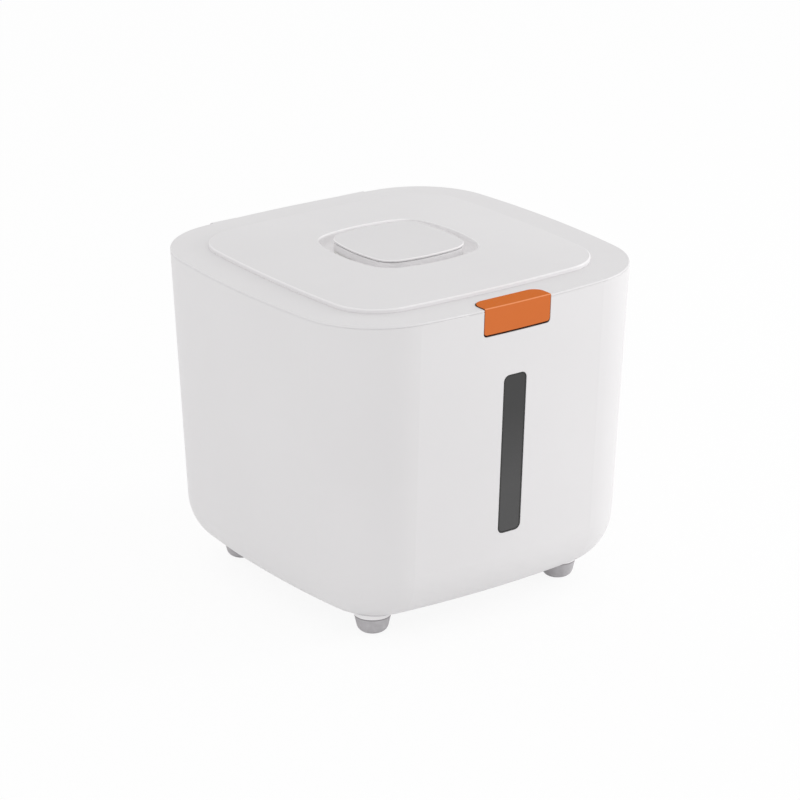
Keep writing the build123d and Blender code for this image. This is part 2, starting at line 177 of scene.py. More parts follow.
# Tones that drift from the first to the second over a finish; the collars' tones are paler as painted light,
# the smoke's darken upwards as painted shade, and the crease rings' and the latch strip's are painted shade
bin_tones = ((0.755, 0.742, 0.749), (0.77, 0.757, 0.764))
lid_tones = ((0.75, 0.737, 0.744), (0.765, 0.752, 0.759))
knob_tones = ((0.69, 0.678, 0.685), (0.705, 0.692, 0.699))
collar_painted_light_tones = ((0.92, 0.906, 0.913), (0.94, 0.926, 0.933))
liner_tones = ((0.71, 0.71, 0.69), (0.735, 0.735, 0.715))
latch_tones = ((0.63, 0.161, 0.042), (0.66, 0.172, 0.047))
smoke_and_shade_tones = ((0.054, 0.0535, 0.054), (0.027, 0.0267, 0.027))
pad_tones = ((0.46, 0.445, 0.46), (0.52, 0.505, 0.52))
crease_shade_tones = ((0.5, 0.49, 0.5), (0.56, 0.55, 0.56))
latch_shade_strip_tones = ((0.03, 0.006, 0.0015), (0.038, 0.008, 0.002))
silicone_tones = ((0.6, 0.6, 0.6), (0.66, 0.66, 0.66))
steel_tones = ((0.52, 0.52, 0.54), (0.62, 0.62, 0.64))
tone_shares = (0.3, 0.7)

# Tones of single features: painted highlights and painted light on the edges of the lid and the knob and in
# the dish, painted shade on the latch's flange, round the pane and on the pads' lips, and a painted highlight
# along the latch's fold
ring_edge_highlight_tone = (0.79, 0.777, 0.784)
panel_side_light_tone = (0.85, 0.836, 0.843)
panel_edge_highlight_tone = (0.9, 0.886, 0.893)
dish_light_tone = (0.95, 0.935, 0.942)
dish_lip_highlight_tone = (0.97, 0.955, 0.962)
dish_right_highlight_share = 0.5
plate_edge_highlight_tone = (0.9, 0.886, 0.893)
knob_side_light_tone = (0.8, 0.787, 0.794)
flange_shade_tone = (0.66, 0.152, 0.016)
fold_highlight_tone = (0.86, 0.33, 0.15)
latch_gloss_tint = (1.0, 0.45, 0.15, 1)
pane_edge_shade_tone = (0.008, 0.008, 0.008)
pad_lip_shade_tone = (0.3, 0.29, 0.3)

# Gloss, roughness as a middle value or a span, and how deep light sinks into silicone, in metres
latch_gloss = 0.03
strip_gloss = 0.1
bin_roughness = 0.42
lid_roughness = 0.42
knob_roughness = 0.4
collar_roughness = 0.3
liner_roughness = 0.5
latch_roughness = 0.46
roughness_swing = 0.05
smoke_roughness = (0.1, 0.16)
rubber_roughness = (0.6, 0.75)
strip_roughness = (0.6, 0.8)
silicone_roughness = (0.35, 0.5)
steel_roughness = (0.22, 0.38)
silicone_depth_share = 0.3
silicone_depth = 0.002

# Noise in features per metre, and relief in metres
noise_detail = 2.0
mould_tone_scale = 9
mould_sheen_scale = 70
mould_grain_scale = 1600
latch_grain_scale = 1500
liner_grain_scale = 1200
mould_grain_depth = 0.00002
collar_grain_depth = 0.00001
softened_edge = 0.0003
edge_samples = 4
smoke_sheen_scale = 120
rubber_tone_scale = 300
rubber_sheen_scale = 150
rubber_grain_scale = 1800
rubber_grain_depth = 0.00006
strip_tone_scale = 400
silicone_tone_scale = 40
silicone_sheen_scale = 90
steel_tone_scale = 200
steel_mark_scale = 4000
steel_mark_stretch = (0.02, 1, 1)
steel_mark_depth = 0.00001

# Studio light, in watts and metres
ambient_strength = 0.866
key_power = 9.8
key_size = 0.6
key_place = (1.65, -0.79, 0.5)
fill_power = 2.4
fill_size = 1.2
fill_place = (-2.1, -0.2, 0.8)
floor_size = 8.0
floor_white_share = 0.9
floor_glow_share = 0.06
floor_albedo = 0.97


def link(tree, value, socket):
    """Socket that takes the value of another socket, or a plain number."""
    if isinstance(value, bpy.types.NodeSocket):
        tree.links.new(value, socket)
    else:
        socket.default_value = value


def add_node(tree, kind, **values):
    """Node of a kind, with its properties and named inputs set."""
    node = tree.nodes.new(kind)
    for name, value in values.items():
        if hasattr(node, name):
            setattr(node, name, value)
        else:
            node.inputs[name].default_value = value
    return node


def add_math(tree, operation, *values):
    """Result of a sum on sockets and numbers."""
    node = add_node(tree, "ShaderNodeMath", operation=operation)
    for socket, value in zip(node.inputs, values):
        link(tree, value, socket)
    return node.outputs["Value"]


def add_span(tree, value, low, high, to_low=0.0, to_high=1.0, kind="LINEAR"):
    """Value carried from one span to another."""
    span = add_node(tree, "ShaderNodeMapRange", interpolation_type=kind)
    for name, number in (("From Min", low), ("From Max", high), ("To Min", to_low), ("To Max", to_high)):
        span.inputs[name].default_value = number
    link(tree, value, span.inputs["Value"])
    return span.outputs["Result"]


def add_band(tree, value, low, high, blur):
    """1 between two values, fading to 0 outside them."""
    rise = add_span(tree, value, low - blur, low + blur, kind="SMOOTHSTEP")
    fall = add_span(tree, value, high - blur, high + blur, 1.0, 0.0, kind="SMOOTHSTEP")
    return add_math(tree, "MULTIPLY", rise, fall)


def split_axes(tree, vector):
    """The X, Y and Z of a vector."""
    axes = add_node(tree, "ShaderNodeSeparateXYZ")
    link(tree, vector, axes.inputs["Vector"])
    return axes.outputs["X"], axes.outputs["Y"], axes.outputs["Z"]


def new_finish(name):
    """Empty material with a principled shader, its tree and its object coordinates."""
    material = bpy.data.materials.new(name)
    material.use_nodes = True
    tree = material.node_tree
    tree.nodes.clear()
    shader = add_node(tree, "ShaderNodeBsdfPrincipled")
    output = add_node(tree, "ShaderNodeOutputMaterial")
    link(tree, shader.outputs["BSDF"], output.inputs["Surface"])
    place = add_node(tree, "ShaderNodeTexCoord").outputs["Object"]
    return material, tree, shader, place


def add_noise(tree, place, scale, stretch=(1, 1, 1)):
    """Noise value over the piece, in features per metre, drawn out along an axis where stretch is small."""
    mapping = add_node(tree, "ShaderNodeMapping")
    mapping.inputs["Scale"].default_value = stretch
    link(tree, place, mapping.inputs["Vector"])
    noise = add_node(tree, "ShaderNodeTexNoise", Scale=scale, Detail=noise_detail)
    link(tree, mapping.outputs["Vector"], noise.inputs["Vector"])
    return noise.outputs["Fac"]


def mottle(tree, shader, value, tones):
    """Base colour that drifts between two near tones."""
    ramp = add_node(tree, "ShaderNodeValToRGB")
    for stop, share, tone in zip(ramp.color_ramp.elements, tone_shares, tones):
        stop.position = share
        stop.color = (*tone, 1)
    link(tree, value, ramp.inputs["Fac"])
    link(tree, ramp.outputs["Color"], shader.inputs["Base Color"])


def shift_colour(tree, shader, mask, colour):
    """Base colour that turns to another where the mask is 1."""
    # The colours of this node are its inputs 6 and 7 and its output 2
    mix = add_node(tree, "ShaderNodeMix", data_type="RGBA")
    link(tree, mask, mix.inputs[0])
    link(tree, shader.inputs["Base Color"].links[0].from_socket, mix.inputs[6])
    mix.inputs[7].default_value = (*colour, 1)
    link(tree, mix.outputs[2], shader.inputs["Base Color"])


def vary_roughness(tree, shader, value, span):
    """Roughness that follows a value over a span."""
    link(tree, add_span(tree, value, 0.0, 1.0, *span), shader.inputs["Roughness"])


def grain(tree, shader, value, depth, edge_radius=0.0):
    """Fine relief of the surface and softened edges, in metres."""
    bump = add_node(tree, "ShaderNodeBump", Distance=depth)
    link(tree, value, bump.inputs["Height"])
    if edge_radius:
        edge = add_node(tree, "ShaderNodeBevel", samples=edge_samples, Radius=edge_radius)
        link(tree, edge.outputs["Normal"], bump.inputs["Normal"])
    link(tree, bump.outputs["Normal"], shader.inputs["Normal"])


def moulded_plastic(name, tones, roughness, grain_scale=mould_grain_scale, grain_depth=mould_grain_depth):
    """Satin moulded plastic: near tones, spark-eroded grain and an uneven sheen."""
    material, tree, shader, place = new_finish(name)
    mottle(tree, shader, add_noise(tree, place, mould_tone_scale), tones)
    roughness_span = (roughness - roughness_swing, roughness + roughness_swing)
    vary_roughness(tree, shader, add_noise(tree, place, mould_sheen_scale), roughness_span)
    grain(tree, shader, add_noise(tree, place, grain_scale), grain_depth, softened_edge)
    return material, tree, shader, place


def lid_plastic():
    """Satin plastic with painted highlights on its edges, painted light on the panel's step and in the finger
    dish, and a painted highlight on the dish's far lip.
    """
    material, tree, shader, place = moulded_plastic("lid_satin", lid_tones, lid_roughness)
    x, y, z = split_axes(tree, place)
    # Painted highlights along the ring's edge and the panel's edge, and painted light on the panel's step
    # wall where shade falls
    edges = ((ring_edge_z, ring_edge_highlight_tone), (panel_side_z, panel_side_light_tone), (panel_edge_z, panel_edge_highlight_tone))
    for span, tone in edges:
        shift_colour(tree, shader, add_band(tree, z, *span, edge_blur), tone)
    # Painted highlight on the dish's far lip, half as strong on its right side
    facing = add_node(tree, "ShaderNodeTexCoord").outputs["Normal"]
    level = split_axes(tree, facing)[2]
    sloping = add_math(tree, "LESS_THAN", level, dish_level_share)
    reach = add_math(tree, "MAXIMUM", add_math(tree, "ABSOLUTE", x), add_math(tree, "ABSOLUTE", y))
    within = add_math(tree, "LESS_THAN", reach, dish_reach)
    right_side = add_span(tree, x, *dish_edge_span, 0.0, dish_right_highlight_share)
    far_side = add_math(tree, "MAXIMUM", right_side, add_span(tree, y, *dish_edge_span))
    far_lip = add_math(tree, "MULTIPLY", sloping, far_side)
    shift_colour(tree, shader, add_math(tree, "MULTIPLY", within, far_lip), dish_lip_highlight_tone)
    # Painted light that lifts the shade deep in the dish
    deep = add_math(tree, "LESS_THAN", z, dish_low_z)
    shift_colour(tree, shader, add_math(tree, "MULTIPLY", within, deep), dish_light_tone)
    return material


def knob_plastic():
    """Satin plastic with a painted highlight round the plate and sides made paler as painted light."""
    material, tree, shader, place = moulded_plastic("knob_satin", knob_tones, knob_roughness)
    z = split_axes(tree, place)[2]
    # Painted highlight round the plate's edge
    low, high = plate_edge_z
    shift_colour(tree, shader, add_band(tree, z, low, high, edge_blur), plate_edge_highlight_tone)
    # Painted light on the sides under the plate
    side = add_math(tree, "LESS_THAN", z, low - plate_side_gap)
    shift_colour(tree, shader, side, knob_side_light_tone)
    return material


def latch_plastic():
    """Satin orange plastic, deeper on its flange's upward faces as painted shade, with a painted highlight
    along the fold.
    """
    material, tree, shader, place = moulded_plastic(
        "latch_satin", latch_tones, latch_roughness, latch_grain_scale
    )
    shader.inputs["Specular IOR Level"].default_value = latch_gloss
    shader.inputs["Specular Tint"].default_value = latch_gloss_tint
    # Painted shade that deepens the orange on faces turned upwards
    facing = add_node(tree, "ShaderNodeTexCoord").outputs["Normal"]
    upward = add_span(tree, split_axes(tree, facing)[2], *flange_level_shares)
    shift_colour(tree, shader, upward, flange_shade_tone)
    # Painted highlight in a thin line along the fold
    x, y, z = split_axes(tree, place)
    top_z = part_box("latch_lever")[1].z
    bow = add_math(tree, "MULTIPLY", add_math(tree, "MULTIPLY", x, x), 0.5 / bow_radius)
    fold_inset = fold_radius * (1 - math.sqrt(0.5))
    fold_y = wall_face_y(0, top_z) + fold_inset
    fold_z = top_z - fold_inset
    off_y = add_math(tree, "SUBTRACT", add_math(tree, "SUBTRACT", y, fold_y), bow)
    off_z = add_math(tree, "SUBTRACT", z, fold_z)
    squares = [add_math(tree, "MULTIPLY", off, off) for off in (off_y, off_z)]
    away = add_math(tree, "SQRT", add_math(tree, "ADD", *squares))
    fade = fold_highlight_blur_share * fold_highlight_width
    line = add_span(tree, away, fold_highlight_width - fade, fold_highlight_width + fade, 1.0, 0.0, kind="SMOOTHSTEP")
    shift_colour(tree, shader, line, fold_highlight_tone)
    return material


def smoked_plastic():
    """Smoked plastic, darker upwards as painted shade, with a border of painted shade round the pane."""
    material, tree, shader, place = new_finish("smoked_plastic")
    axes = split_axes(tree, place)
    x, z = axes[0], axes[2]
    # Painted shade, darker towards the top of the window
    climb = add_span(tree, z, window_low_z, window_high_z)
    mottle(tree, shader, climb, smoke_and_shade_tones)
    # Painted shade in a dark border round the pane
    radius = pane_corner_radius
    across = add_math(tree, "SUBTRACT", add_math(tree, "ABSOLUTE", x), pane_half_width - radius)
    middle = add_math(tree, "ABSOLUTE", add_math(tree, "SUBTRACT", z, pane_middle_z))
    along = add_math(tree, "SUBTRACT", middle, pane_half_height - radius)
    past = [add_math(tree, "POWER", add_math(tree, "MAXIMUM", value, 0.0), 2.0) for value in (across, along)]
    away = add_math(tree, "SQRT", add_math(tree, "ADD", *past))
    fade = pane_blur_share * pane_border
    inner = radius - pane_border
    border = add_span(tree, away, inner - fade, inner + fade, kind="SMOOTHSTEP")
    shift_colour(tree, shader, border, pane_edge_shade_tone)
    vary_roughness(tree, shader, add_noise(tree, place, smoke_sheen_scale), smoke_roughness)
    return material


def soft_rubber():
    """Grey rubber, with painted shade round the lip under the collar."""
    material, tree, shader, place = new_finish("soft_rubber")
    mottle(tree, shader, add_noise(tree, place, rubber_tone_scale), pad_tones)
    # Painted shade round the pad's lip under the collar
    lip_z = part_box("foot_pad_front_left")[1].z - pad_lip_height
    z = split_axes(tree, place)[2]
    lip = add_span(tree, z, lip_z - pad_lip_blur, lip_z + pad_lip_blur, kind="SMOOTHSTEP")
    shift_colour(tree, shader, lip, pad_lip_shade_tone)
    vary_roughness(tree, shader, add_noise(tree, place, rubber_sheen_scale), rubber_roughness)
    grain(tree, shader, add_noise(tree, place, rubber_grain_scale), rubber_grain_depth)
    return material


def crease_shade_finish():
    """Grey finish of the rings over the collars: painted shade in the crease under the shell."""
    material, tree, shader, place = new_finish("crease_shade_finish")
    mottle(tree, shader, add_noise(tree, place, rubber_tone_scale), crease_shade_tones)
    vary_roughness(tree, shader, add_noise(tree, place, rubber_sheen_scale), rubber_roughness)
    return material


def latch_gap_shade():
    """Dark brown finish of the strip round the latch: painted shade in the gap round it."""
    material, tree, shader, place = new_finish("latch_gap_shade")
    mottle(tree, shader, add_noise(tree, place, strip_tone_scale), latch_shade_strip_tones)
    vary_roughness(tree, shader, add_noise(tree, place, rubber_sheen_scale), strip_roughness)
    shader.inputs["Specular IOR Level"].default_value = strip_gloss
    return material


def pale_silicone():
    """Pale silicone into which light sinks a little."""
    material, tree, shader, place = new_finish("pale_silicone")
    mottle(tree, shader, add_noise(tree, place, silicone_tone_scale), silicone_tones)
    vary_roughness(tree, shader, add_noise(tree, place, silicone_sheen_scale), silicone_roughness)
    shader.inputs["Subsurface Weight"].default_value = silicone_depth_share
    shader.inputs["Subsurface Radius"].default_value = (silicone_depth, silicone_depth, silicone_depth)
    return material


def drawn_steel():
    """Steel wire and strip, with fine marks drawn out along X."""
    material, tree, shader, place = new_finish("drawn_steel")
    shader.inputs["Metallic"].default_value = 1.0
    mottle(tree, shader, add_noise(tree, place, steel_tone_scale), steel_tones)
    marks = add_noise(tree, place, steel_mark_scale, stretch=steel_mark_stretch)
    vary_roughness(tree, shader, marks, steel_roughness)
    grain(tree, shader, marks, steel_mark_depth)
    return material


def wall_face_y(x, z):
    """Where the front wall's outer face stands."""
    shrink = wall_draft * (rim_z - z) / bin_height
    return bow_radius - bin_half - math.sqrt((bow_radius - shrink) ** 2 - x**2)


def soft_square(half, corner, bow):
    """Points of a soft square about the origin, counter-clockwise from its right side.

    Each of the four sides is a bowed run and then a round corner, of loop_steps points each.
    """
    reach = bow - half
    centre = (math.sqrt(2 * (bow - corner) ** 2 - reach**2) - reach) / 2
    lean = math.atan2(centre, centre + reach)
    points = []
    for quarter in range(4):
        turn = quarter * math.pi / 2
        for step in range(loop_steps):
            angle = lean * (2 * step / loop_steps - 1)
            points.append((bow * math.cos(angle) - reach, bow * math.sin(angle), turn))
        for step in range(loop_steps):
            angle = lean + (math.pi / 2 - 2 * lean) * step / loop_steps
            points.append((centre + corner * math.cos(angle), centre + corner * math.sin(angle), turn))
    return [
        (x * math.cos(turn) - y * math.sin(turn), x * math.sin(turn) + y * math.cos(turn))
        for x, y, turn in points
    ]


def new_piece(name, points, faces, finish, edges=()):
    """Object with a mesh of its own."""
    mesh = bpy.data.meshes.new(name)
    mesh.from_pydata(points, edges, faces)
    mesh.materials.append(finish)
    piece = bpy.data.objects.new(name, mesh)
    bpy.context.collection.objects.link(piece)
    return piece


def smooth(piece, degrees):
    """Outward faces, smooth up to an angle."""
    form = bmesh.new()
    form.from_mesh(piece.data)
    bmesh.ops.recalc_face_normals(form, faces=form.faces)
    form.to_mesh(piece.data)
    form.free()
    piece.data.shade_smooth()
    piece.data.set_sharp_from_angle(angle=math.radians(degrees))
    return piece


def settle(piece):
    """The result of the piece's modifiers as its plain mesh."""
    shown = piece.evaluated_get(bpy.context.evaluated_depsgraph_get())
    mesh = bpy.data.meshes.new_from_object(shown)
    piece.modifiers.clear()
    piece.data = mesh
    return piece


def strip_between(rings, closed):
    """Points and faces of a skin over rings of points, with its ends closed unless the rings join up."""
    count = len(rings[0])
    points = [point for ring in rings for point in ring]
    faces = []
    for index in range(len(rings) if closed else len(rings) - 1):
        here = index * count
        there = (index + 1) % len(rings) * count
        for corner in range(count):
            beside = (corner + 1) % count
            faces.append((here + corner, there + corner, there + beside, here + beside))
    if not closed:
        faces.append(tuple(range(count)))
        faces.append(tuple(range(len(points) - count, len(points))))
    return points, faces


def u_outline(half, low, high, radius):
    """Points of a U from its left arm's end, round the bottom to its right arm's end."""
    steps = strip_corner_steps
    points = [(-half, high)]
    for step in range(steps + 1):
        angle = math.pi + math.pi / 2 * step / steps
        points.append((-half + radius + radius * math.cos(angle), low + radius + radius * math.sin(angle)))
    for step in range(1, 2 * steps):
        points.append(((half - radius) * (step / steps - 1), low))
    return points + [(-x, level) for x, level in reversed(points[: steps + 2])]


def add_latch_shade_strip(finish):
    """Dark strip of painted shade round the latch: down the panel's sides and along its foot, and round the
    flange.
    """
    low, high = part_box("latch_lever")
    inner_half, outer_half = high.x - strip_overlap, high.x + strip_side
    inner_radius, outer_radius = latch_corner_radius, latch_corner_radius + strip_side
    inner = u_outline(inner_half, low.z + strip_overlap, strip_top_z, inner_radius)
    outer = u_outline(outer_half, low.z - strip_drop, strip_top_z, outer_radius)
    rings = []
    for (x, z), (out_x, out_z) in zip(inner, outer):
        face = wall_face_y(x, z) + strip_set_back
        out_face = wall_face_y(out_x, out_z) + strip_set_back
        rings.append([
            (x, face, z), (out_x, out_face, out_z),
            (out_x, out_face + strip_depth, out_z), (x, face + strip_depth, z),
        ])
    points, faces = strip_between(rings, False)

    front_y = low.y + strip_set_back + strip_depth
    inner_radius, outer_radius = latch_back_radius, latch_back_radius + strip_side
    inner = u_outline(inner_half, -high.y + strip_overlap, -front_y, inner_radius)
    outer = u_outline(outer_half, -high.y - strip_back, -front_y, outer_radius)
    top = high.z - strip_set_back
    foot = top - strip_depth / 2
    rings = []
    for (x, depth), (out_x, out_depth) in zip(inner, outer):
        rings.append([
            (x, -depth, top), (out_x, -out_depth, top),
            (out_x, -out_depth, foot), (x, -depth, foot),
        ])
    flange_points, flange_faces = strip_between(rings, False)
    faces += [tuple(index + len(points) for index in face) for face in flange_faces]
    piece = new_piece("latch_edge_strip", points + flange_points, faces, finish)
    smooth(piece, sharp_angle)
    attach(piece, "latch")


def add_leaf_spring(finish):
    """Steel leaf that turns back on itself and narrows to its tip, pressed flatter by the latch."""
    low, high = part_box("latch_spring")
    floor_z = low.z + leaf_thickness / 2
    bend = Vector((0, low.y + leaf_thickness / 2 + leaf_bend_radius, floor_z + leaf_bend_radius))
    tip_y = bend.y + (high.y - bend.y) * leaf_tip_share
    line = [Vector((0, high.y, floor_z))]
    for step in range(leaf_bend_steps + 1):
        angle = -math.pi / 2 - math.pi * step / leaf_bend_steps
        line.append(bend + leaf_bend_radius * Vector((0, math.cos(angle), math.sin(angle))))
    line.append(Vector((0, tip_y, high.z - leaf_thickness / 2)))
    rings = []
    for index, spot in enumerate(line):
        along = line[min(index + 1, len(line) - 1)] - line[max(index - 1, 0)]
        across = Vector((0, -along.z, along.y)).normalized() * (leaf_thickness / 2)
        share = 1 - (1 - leaf_tip_width_share) * index / (len(line) - 1)
        side = Vector(((high.x - low.x) / 2 * share, 0, 0))
        rings.append([spot - side + across, spot + side + across, spot + side - across, spot - side - across])
    piece = new_piece("latch_leaf_spring", *strip_between(rings, False), finish)
    smooth(piece, sharp_angle)
    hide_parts("latch_spring")
    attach(piece, "lid")
    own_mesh(piece)


def new_shape_tree(name, sizes):
    """Geometry tree with a geometry input, named sizes and a geometry output."""
    tree = bpy.data.node_groups.new(name, "GeometryNodeTree")
    tree.interface.new_socket("Geometry", in_out="INPUT", socket_type="NodeSocketGeometry")
    for size in sizes:
        tree.interface.new_socket(size, in_out="INPUT", socket_type="NodeSocketFloat")
    tree.interface.new_socket("Geometry", in_out="OUTPUT", socket_type="NodeSocketGeometry")
    return tree, add_node(tree, "NodeGroupInput")


def close_shape_tree(tree, shape, finish):
    """Instances made real, one finish, and the end of the tree."""
    real = add_node(tree, "GeometryNodeRealizeInstances")
    paint = add_node(tree, "GeometryNodeSetMaterial", Material=finish)
    end = add_node(tree, "NodeGroupOutput")
    link(tree, shape, real.inputs["Geometry"])
    link(tree, real.outputs["Geometry"], paint.inputs["Geometry"])
    link(tree, paint.outputs["Geometry"], end.inputs["Geometry"])


def grow(piece, tree, sizes):
    """Piece shaped by a tree with its named sizes set."""
    modifier = piece.modifiers.new("shape", "NODES")
    modifier.node_group = tree
    for item in tree.interface.items_tree:
        if item.in_out == "INPUT" and item.name in sizes:
            modifier[item.identifier] = sizes[item.name]
    return settle(piece)


def combine_axes(tree, **axes):
    """Vector from sockets and numbers."""
    vector = add_node(tree, "ShaderNodeCombineXYZ")
    for axis, value in axes.items():
        link(tree, value, vector.inputs[axis])
    return vector.outputs["Vector"]


def close_with_copies(tree, points, form, turn, finish):
    """A copy of a form on each point, turned about Z, and the end of the tree."""
    copies = add_node(tree, "GeometryNodeInstanceOnPoints")
    link(tree, points, copies.inputs["Points"])
    link(tree, form, copies.inputs["Instance"])
    link(tree, combine_axes(tree, Z=turn), copies.inputs["Rotation"])
    close_shape_tree(tree, copies.outputs["Instances"], finish)


def gasket_tree(finish):
    """Section with two lips, carried round a loop."""
    sizes = ("Body width", "Body height", "Lip width", "Lip thickness", "Lip pitch", "Edge radius")
    tree, start = new_shape_tree("gasket", sizes)
    size = start.outputs
    join = add_node(tree, "GeometryNodeJoinGeometry")
    lip_x = add_math(tree, "MULTIPLY", add_math(tree, "ADD", size["Body width"], size["Lip width"]), 0.5)
    tuck = add_math(tree, "SUBTRACT", lip_x, size["Edge radius"])
    half_pitch = add_math(tree, "MULTIPLY", size["Lip pitch"], 0.5)
    lower = add_math(tree, "MULTIPLY", half_pitch, -1.0)
    bars = (
        ("Body width", "Body height", 0.0, 0.0),
        ("Lip width", "Lip thickness", tuck, half_pitch),
        ("Lip width", "Lip thickness", tuck, lower),
    )
    for width, height, across, up in bars:
        bar = add_node(tree, "GeometryNodeCurvePrimitiveQuadrilateral")
        link(tree, size[width], bar.inputs["Width"])
        link(tree, size[height], bar.inputs["Height"])
        place = add_node(tree, "GeometryNodeTransform")
        link(tree, bar.outputs["Curve"], place.inputs["Geometry"])
        link(tree, combine_axes(tree, X=across, Y=up), place.inputs["Translation"])
        link(tree, place.outputs["Geometry"], join.inputs["Geometry"])
    edge = add_node(tree, "GeometryNodeFilletCurve", mode="POLY", Count=gasket_edge_steps)
    link(tree, join.outputs["Geometry"], edge.inputs["Curve"])
    link(tree, size["Edge radius"], edge.inputs["Radius"])
    loop = add_node(tree, "GeometryNodeMeshToCurve")
    link(tree, size["Geometry"], loop.inputs["Mesh"])
    upright = add_node(tree, "GeometryNodeSetCurveNormal", mode="Z_UP")
    link(tree, loop.outputs["Curve"], upright.inputs["Curve"])
    sweep = add_node(tree, "GeometryNodeCurveToMesh")
    link(tree, upright.outputs["Curve"], sweep.inputs["Curve"])
    link(tree, edge.outputs["Curve"], sweep.inputs["Profile Curve"])
    close_shape_tree(tree, sweep.outputs["Mesh"], finish)
    return tree


def add_gasket(name, node, body, tree, outline, lip_width, lip_thickness, lip_pitch):
    """Gasket in the place of a plain ring: outline gives the loop at a half width."""
    low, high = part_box(node)
    half = high.x - lip_width - gasket_body_width / 2
    loop = [(x, y, (low.z + high.z) / 2) for x, y in outline(half)]
    edges = [(index, (index + 1) % len(loop)) for index in range(len(loop))]
    piece = new_piece(name, loop, [], finishes["silicone"], edges)
    sizes = {
        "Body width": gasket_body_width,
        "Body height": high.z - low.z,
        "Lip width": lip_width + gasket_edge_radius,
        "Lip thickness": lip_thickness,
        "Lip pitch": lip_pitch,
        "Edge radius": gasket_edge_radius,
    }
    smooth(grow(piece, tree, sizes), gasket_sharp_angle)
    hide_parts(node)
    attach(piece, body)


def bin_outline(half):
    """Loop beside the bin's rim, at another half width."""
    inset = bin_half - half
    return soft_square(half, corner_radius - inset, bow_radius - inset)


def knob_outline(half):
    """Loop of the knob, scaled to another half width."""
    share = half / knob_half
    return soft_square(half, knob_corner_radius * share, knob_bow_radius * share)


def outline_past_latch(half):
    """Bin outline at a half width, from the latch's right side round the back to its left side."""
    # The front side is the seventh of eight runs of points
    front, corner = 6 * loop_steps, 7 * loop_steps
    beside = sum(spot[0] > lip_end_x for spot in bin_outline(bin_half)[front:corner])
    loop = bin_outline(half)
    end_y = bow_radius - bin_half - math.sqrt((bow_radius - bin_half + half) ** 2 - lip_end_x**2)
    right = [(lip_end_x, end_y)] + loop[corner - beside :]
    left = loop[: front + beside + 1] + [(-lip_end_x, end_y)]
    return right + left


def add_rim_lip(finish):
    """Soft lip that closes the seam between the lid's edge and the rim on both sides of the latch."""
    insets, heights = zip(*lip_section)
    loops = [outline_past_latch(bin_half - inset) for inset in insets]
    rings = [[(x, y, z) for (x, y), z in zip(spots, heights)] for spots in zip(*loops)]
    piece = new_piece("lid_rim_lip", *strip_between(rings, False), finish)
    smooth(piece, ring_sharp_angle)
    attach(piece, "lid")


def turned_form(profile, steps):
    """Points and faces of a form turned about Z.

    The profile's (radius, height) points start and end on the axis.
    """
    points = [(0, 0, profile[0][1])]
    for radius, height in profile[1:-1]:
        for step in range(steps):
            angle = 2 * math.pi * step / steps
            points.append((radius * math.cos(angle), radius * math.sin(angle), height))
    points.append((0, 0, profile[-1][1]))
    last = len(points) - 1
    faces = []
    for step in range(steps):
        beside = (step + 1) % steps
        faces.append((0, 1 + beside, 1 + step))
        for row in range(len(profile) - 3):
            base = 1 + row * steps
            faces.append((base + step, base + beside, base + steps + beside, base + steps + step))
        base = last - steps
        faces.append((base + step, base + beside, last))
    return points, faces


def screw_form(length, finish):
    """One pan-head screw, head down, with a crossed driver recess."""
    radius, height = screw_head_radius, screw_head_height
    head = [(radius * across, -height * down) for across, down in screw_head_shares]
    shank = [(screw_radius, 0), (screw_radius, length - screw_radius), (0, length)]
    screw = new_piece("screw_form", *turned_form([(0, -height)] + head + shank, screw_steps), finish)
    smooth(screw, sharp_angle)
    cutter_points, cutter_faces = [], []
    long, short = recess_length / 2, recess_width / 2
    levels = (
        (-recess_start_share * height, recess_mouth_share),
        (recess_depth - height, recess_floor_share),
    )
    for half_x, half_y in ((long, short), (short, long)):
        base = len(cutter_points)
        for z, share in levels:
            for side_x, side_y in ((-1, -1), (1, -1), (1, 1), (-1, 1)):
                cutter_points.append((side_x * half_x * share, side_y * half_y * share, z))
        sides = [(base + a, base + (a + 1) % 4, base + 4 + (a + 1) % 4, base + 4 + a) for a in range(4)]
        cutter_faces += sides + [tuple(base + a for a in (3, 2, 1, 0)), tuple(base + a for a in (4, 5, 6, 7))]
    cutter = new_piece("recess_form", cutter_points, cutter_faces, finish)
    cut = screw.modifiers.new("recess", "BOOLEAN")
    cut.object = cutter
    cut.solver = "EXACT"
    cut.use_self = True
    settle(screw)
    bpy.data.objects.remove(cutter)
    return screw


def add_screws(finish):
    """Six screws under the liner, each turned as a driver left it."""
    low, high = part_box("lid_screws")
    screw = screw_form(high.z - low.z - screw_head_height, finish)
    reach = high.x - screw_head_radius
    rear = high.y - screw_head_radius
    places = [(reach, 0), (-reach, 0), (rear, rear), (-rear, rear), (rear, -rear), (-rear, -rear)]
    points = [(x, y, low.z + screw_head_height) for x, y in places]
    piece = new_piece("lid_screw_set", points, [], finish)

    tree, start = new_shape_tree("screw_set", ("Turn",))
    source = add_node(tree, "GeometryNodeObjectInfo", Object=screw)
    # The number of this node has its maximum at input 3 and its value at output 1
    turn = add_node(tree, "FunctionNodeRandomValue", data_type="FLOAT")
    turn.inputs["Seed"].default_value = screw_turn_seed
    link(tree, start.outputs["Turn"], turn.inputs[3])
    close_with_copies(tree, start.outputs["Geometry"], source.outputs["Geometry"], turn.outputs[1], finish)
    grow(piece, tree, {"Turn": math.pi / 2})
    bpy.data.objects.remove(screw)
    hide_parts("lid_screws")
    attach(piece, "lid")


